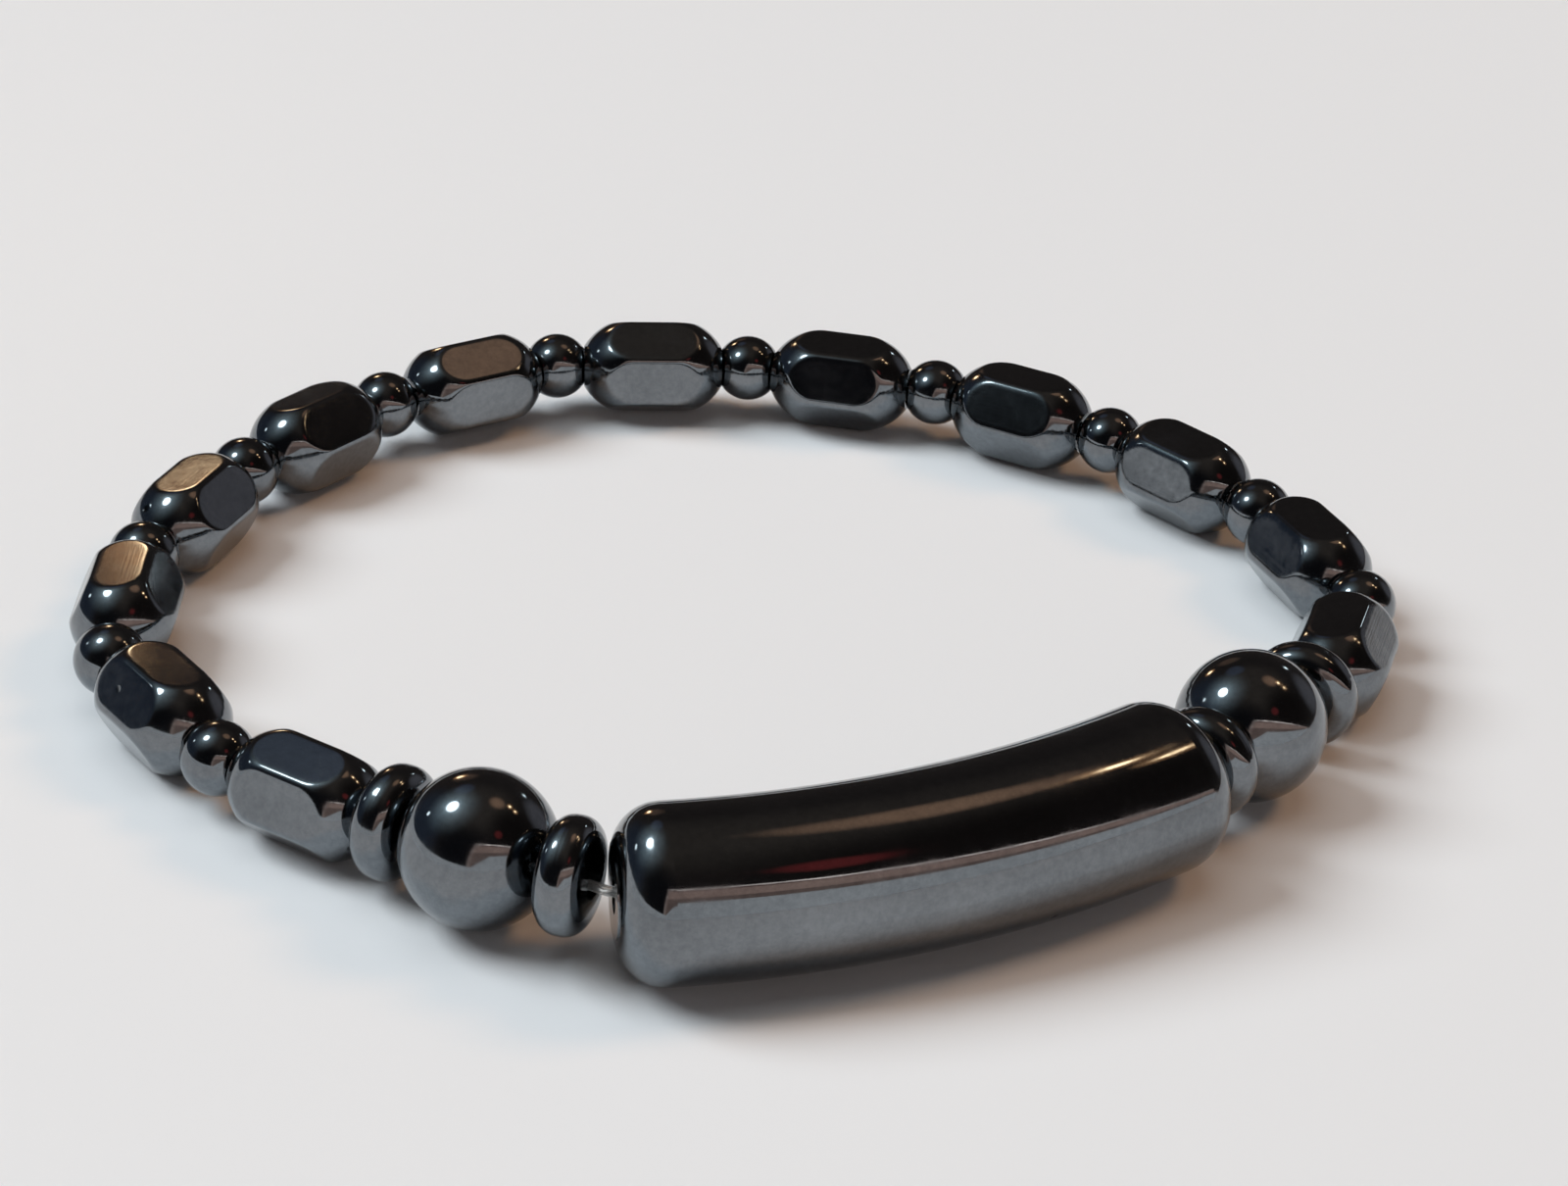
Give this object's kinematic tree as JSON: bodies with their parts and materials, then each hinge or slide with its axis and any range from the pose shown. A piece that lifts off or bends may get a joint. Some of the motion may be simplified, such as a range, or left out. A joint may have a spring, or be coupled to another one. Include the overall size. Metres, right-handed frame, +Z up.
{
  "type": "beaded bracelet",
  "caption": "Closed bracelet of polished hematite beads on an elastic thread: faceted barrels, small balls, wheel discs, large balls and one long curved tube.",
  "frame": {"origin": "middle of the ring of beads, on the floor it lies on", "axes": "+Z up, -Y towards the long curved tube, +X to the right seen from the tube's side"},
  "size_m": [0.0723, 0.0689, 0.0089],
  "materials": {
    "hematite": "polished to a metallic mirror, flats finely brushed",
    "elastic": "clear, glossy"
  },
  "bodies": {
    "root": {"curved_tube": "hematite", "disc_1": "hematite", "disc_2": "hematite", "disc_3": "hematite", "disc_4": "hematite", "large_round_1": "hematite", "large_round_2": "hematite", "faceted_barrel_01": "hematite", "faceted_barrel_02": "hematite", "faceted_barrel_03": "hematite", "faceted_barrel_04": "hematite", "faceted_barrel_05": "hematite", "faceted_barrel_06": "hematite", "faceted_barrel_07": "hematite", "faceted_barrel_08": "hematite", "faceted_barrel_09": "hematite", "faceted_barrel_10": "hematite", "faceted_barrel_11": "hematite", "faceted_barrel_12": "hematite", "small_round_01": "hematite", "small_round_02": "hematite", "small_round_03": "hematite", "small_round_04": "hematite", "small_round_05": "hematite", "small_round_06": "hematite", "small_round_07": "hematite", "small_round_08": "hematite", "small_round_09": "hematite", "small_round_10": "hematite", "small_round_11": "hematite", "elastic_thread": "elastic"}
  },
  "joints": []
}
